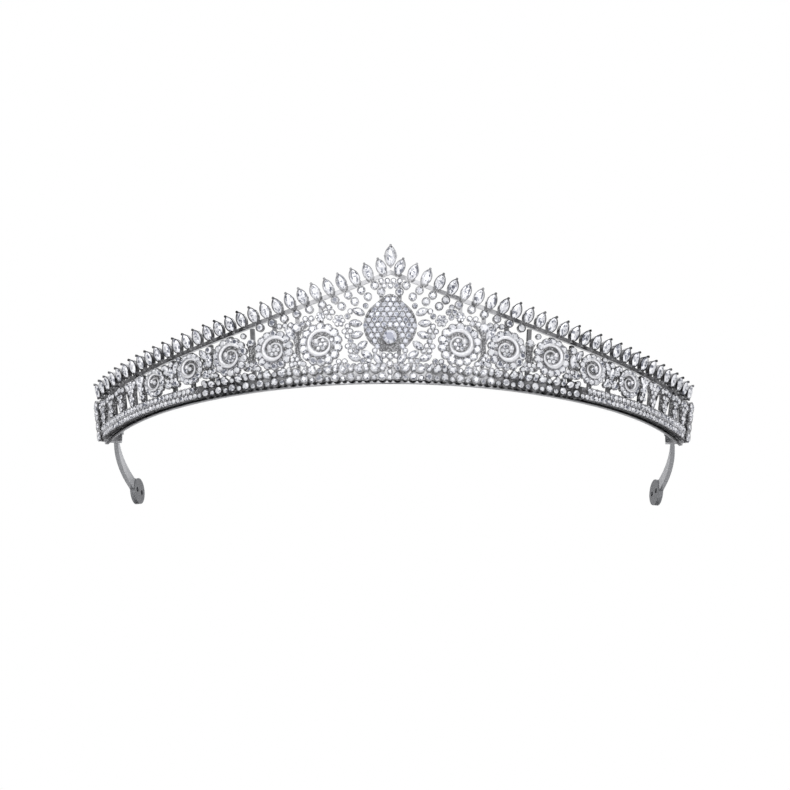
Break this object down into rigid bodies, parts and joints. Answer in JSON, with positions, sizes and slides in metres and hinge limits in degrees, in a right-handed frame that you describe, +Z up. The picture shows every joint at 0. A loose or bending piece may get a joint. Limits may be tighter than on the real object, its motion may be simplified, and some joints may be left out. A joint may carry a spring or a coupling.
{
  "type": "tiara",
  "caption": "Bridal tiara: an openwork wall of set stones, scrolls and leaves on a plain band, with two short hinged arms that end in pierced oval plates.",
  "frame": {"origin": "middle of the overall box, on the plane that the rim and the end plates stand on", "axes": "+X across the head, -Y to the front, +Z up"},
  "size_m": [0.1368, 0.0956, 0.0299],
  "materials": {
    "polished_metal": "polished rhodium plate",
    "setting_metal": "polished rhodium plate",
    "pave_metal": "bright cut rhodium plate",
    "clear_stone": "faceted and polished",
    "satin_metal": "satin",
    "hinge_metal": "polished",
    "dark_metal": "satin"
  },
  "bodies": {
    "rim": {"base_band": "polished_metal", "lower_rail": "polished_metal", "upper_rail": "polished_metal", "ribs_right": "polished_metal", "ribs_left": "polished_metal", "centre_plaque": "pave_metal", "centre_stone": "clear_stone", "centre_fan": "pave_metal", "centre_boss": "dark_metal", "finial_setting": "setting_metal", "finial_stone": "clear_stone", "marquise_settings_right": "setting_metal", "marquise_settings_left": "setting_metal", "marquise_stones_right": "clear_stone", "marquise_stones_left": "clear_stone", "crest_collets_right": "setting_metal", "crest_collets_left": "setting_metal", "crest_stones_right": "clear_stone", "crest_stones_left": "clear_stone", "scroll_right_1": "pave_metal", "scroll_right_2": "pave_metal", "scroll_right_3": "pave_metal", "scroll_right_4": "pave_metal", "scroll_right_5": "pave_metal", "scroll_left_1": "pave_metal", "scroll_left_2": "pave_metal", "scroll_left_3": "pave_metal", "scroll_left_4": "pave_metal", "scroll_left_5": "pave_metal", "link_right_1": "pave_metal", "link_right_2": "pave_metal", "link_right_3": "pave_metal", "link_right_4": "pave_metal", "link_right_5": "pave_metal", "link_left_1": "pave_metal", "link_left_2": "pave_metal", "link_left_3": "pave_metal", "link_left_4": "pave_metal", "link_left_5": "pave_metal", "fans_right": "pave_metal", "fans_left": "pave_metal", "flowers_right": "pave_metal", "flowers_left": "pave_metal", "gallery_settings_right": "setting_metal", "gallery_settings_left": "setting_metal", "gallery_stones_right": "clear_stone", "gallery_stones_left": "clear_stone", "pave_band_right": "pave_metal", "pave_band_left": "pave_metal", "end_cap_right": "pave_metal", "end_cap_left": "pave_metal", "hinge_bracket_right": "hinge_metal", "hinge_bracket_left": "hinge_metal", "hinge_pin_right": "hinge_metal", "hinge_pin_left": "hinge_metal"},
    "right_arm": {"arm_right": "satin_metal", "end_plate_right": "satin_metal"},
    "left_arm": {"arm_left": "satin_metal", "end_plate_left": "satin_metal"}
  },
  "joints": [
    {"name": "right_arm_hinge", "type": "hinge", "parent": "rim", "child": "right_arm", "pos_m": [0.06342, 0.00279, 0.004], "axis": [0.9962, -0.0872, 0], "range_deg": [-15, 30]},
    {"name": "left_arm_hinge", "type": "hinge", "parent": "rim", "child": "left_arm", "pos_m": [-0.06342, 0.00279, 0.004], "axis": [0.9962, 0.0872, 0], "range_deg": [-15, 30]}
  ]
}
